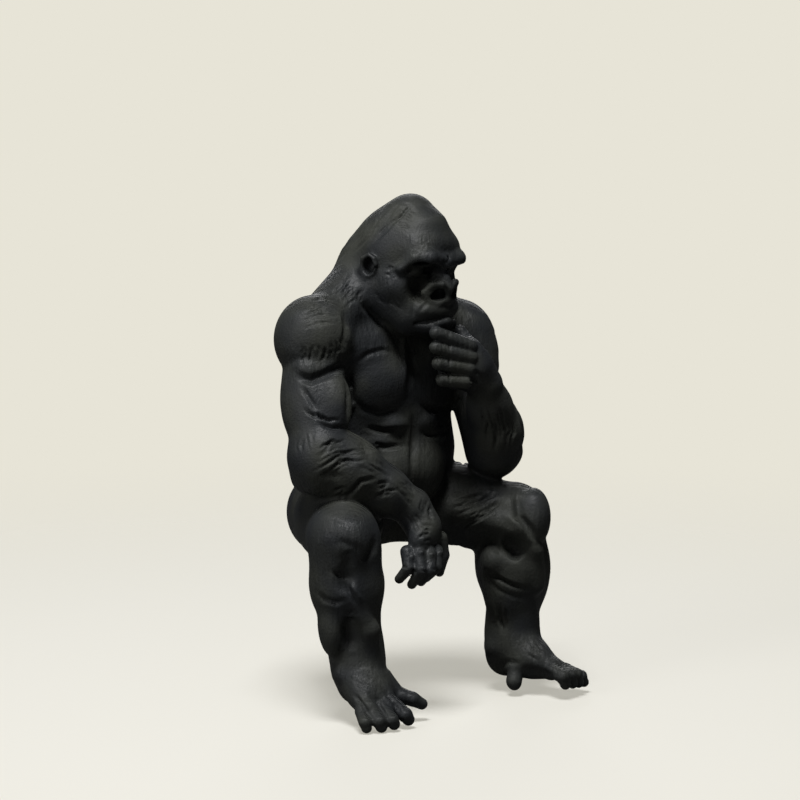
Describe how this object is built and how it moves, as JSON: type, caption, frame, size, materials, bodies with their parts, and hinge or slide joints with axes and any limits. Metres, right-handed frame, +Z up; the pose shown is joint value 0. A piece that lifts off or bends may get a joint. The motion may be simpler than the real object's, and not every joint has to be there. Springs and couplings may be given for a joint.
{
  "type": "gorilla figurine",
  "caption": "Seated gorilla figurine for a shelf edge, legs hanging down, one forearm across the thighs and a fist under the chin.",
  "frame": {"origin": "on the flat seat, under the spine, where the figurine rests on the top of the shelf", "axes": "+Z up, the gorilla faces -Y, its left side is +X"},
  "size_m": [0.0837, 0.0639, 0.1382],
  "materials": {
    "body": "matte, with fine print layers"
  },
  "bodies": {
    "root": {"gorilla_figurine": "body"}
  },
  "joints": []
}
